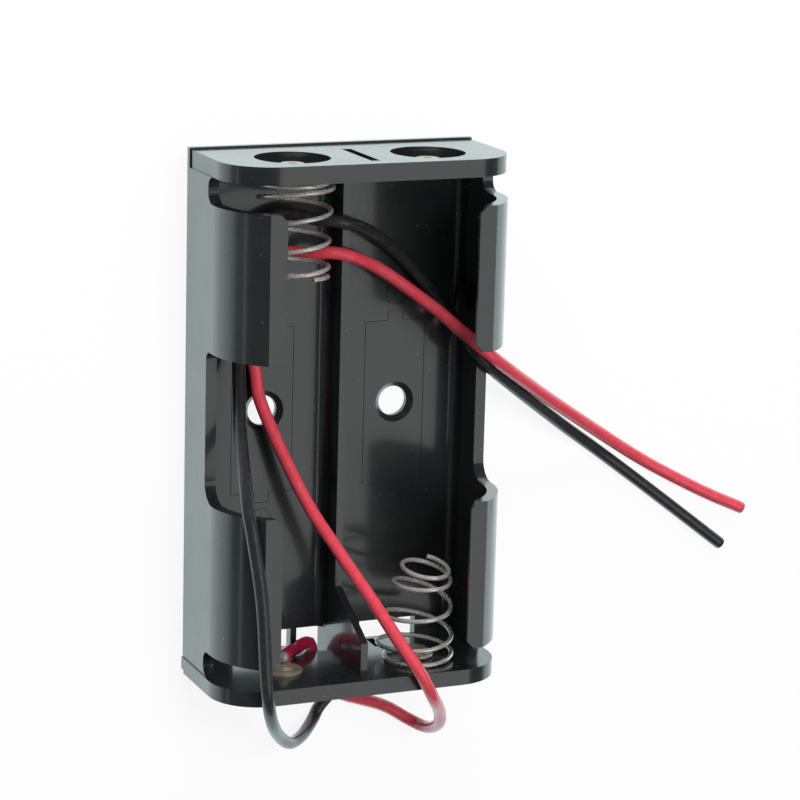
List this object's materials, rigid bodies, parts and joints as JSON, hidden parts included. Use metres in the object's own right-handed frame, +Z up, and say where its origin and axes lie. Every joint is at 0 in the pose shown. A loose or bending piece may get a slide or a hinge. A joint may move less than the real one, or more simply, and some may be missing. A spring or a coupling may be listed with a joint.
{
  "type": "cylindrical cell holder",
  "caption": "Open plastic holder that grips cylindrical cells side by side between coil springs and button contacts, with a red and a black wire lead.",
  "frame": {"origin": "centre of the base of the housing, on the surface that it stands on", "axes": "+X across the cells, +Y along the cells away from the end with the leads, +Z up out of the open face"},
  "size_m": [0.069, 0.0671, 0.0169],
  "materials": {
    "black_plastic": "semi-gloss moulded",
    "nickel_plate": "plated",
    "spring_wire": "plated wire",
    "solder": "dull",
    "copper_strand": "tinned strands",
    "red_insulation": "soft satin",
    "black_insulation": "soft satin"
  },
  "bodies": {
    "holder": {"housing": "black_plastic", "bridge_strip": "nickel_plate", "left_rivet": "nickel_plate", "right_rivet": "nickel_plate", "left_button": "nickel_plate", "right_button": "nickel_plate", "red_core": "copper_strand", "black_core": "copper_strand", "red_solder": "solder", "black_solder": "solder", "red_lead": "red_insulation", "black_lead": "black_insulation"},
    "left_coil": {"left_spring": "spring_wire"},
    "right_coil": {"right_spring": "spring_wire"}
  },
  "joints": [
    {"name": "left_squeeze", "type": "slide", "parent": "holder", "child": "left_coil", "axis": [0, 1, 0], "range_m": [0, 0.0082], "stiffness_N_per_m": 400, "deforming": ["left_spring"]},
    {"name": "right_squeeze", "type": "slide", "parent": "holder", "child": "right_coil", "axis": [0, -1, 0], "range_m": [0, 0.0082], "stiffness_N_per_m": 400, "deforming": ["right_spring"]}
  ]
}
